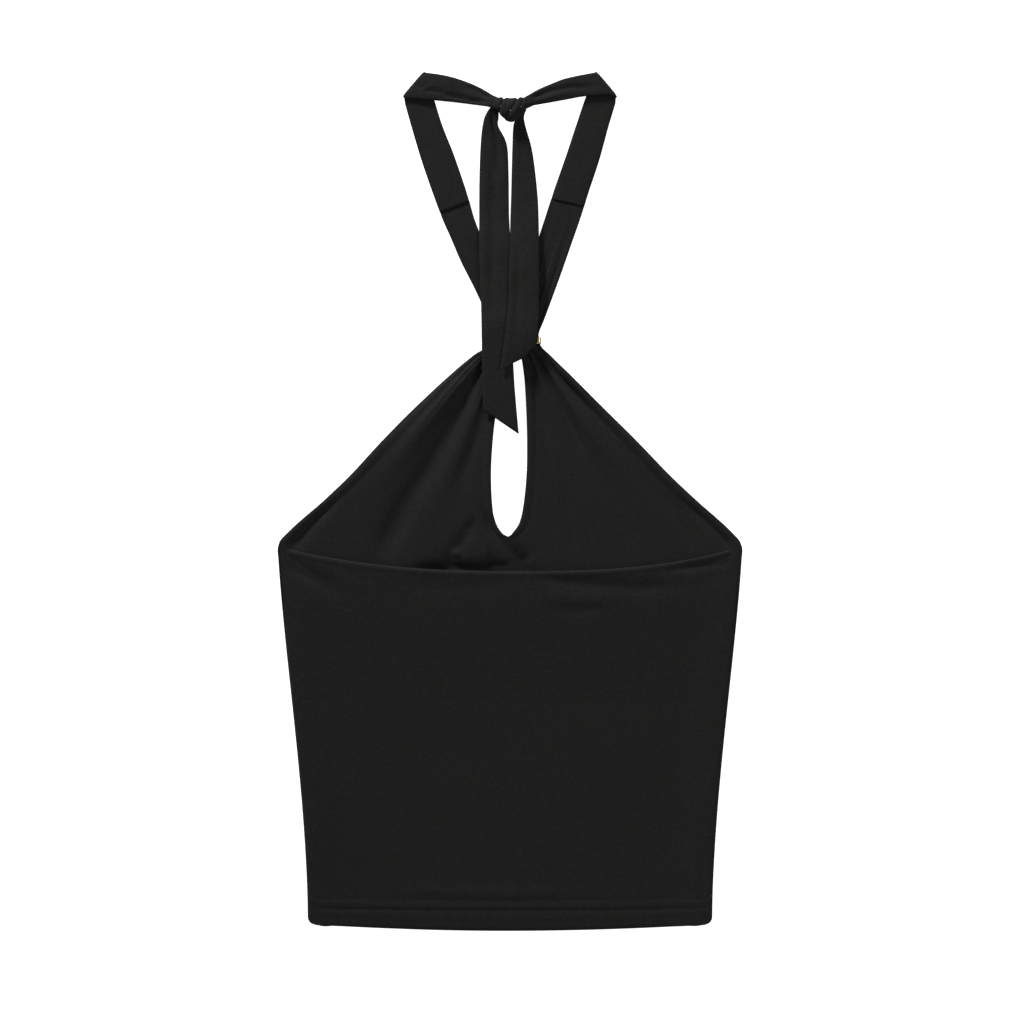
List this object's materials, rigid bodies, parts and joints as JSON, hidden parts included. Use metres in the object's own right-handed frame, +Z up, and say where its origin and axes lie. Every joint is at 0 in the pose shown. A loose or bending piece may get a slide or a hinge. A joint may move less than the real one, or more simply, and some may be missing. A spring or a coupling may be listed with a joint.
{
  "type": "halter-neck top",
  "caption": "Flat-laid halter-neck top in double jersey: back over gathered front, keyhole, metal gathering ring and two ties knotted behind the neck.",
  "frame": {"origin": "middle of the underside, on the surface that the top lies on", "axes": "+Z up out of the surface, +Y from the hem towards the neck knot, +X to the right as seen from above with the back up"},
  "size_m": [0.35, 0.6485, 0.0122],
  "materials": {
    "jersey": "matt black viscose jersey, two layers",
    "gold": "polished gold-tone plated metal"
  },
  "bodies": {
    "root": {"front": "jersey", "back": "jersey", "tie_left": "jersey", "tie_right": "jersey", "ring": "gold"}
  },
  "joints": []
}
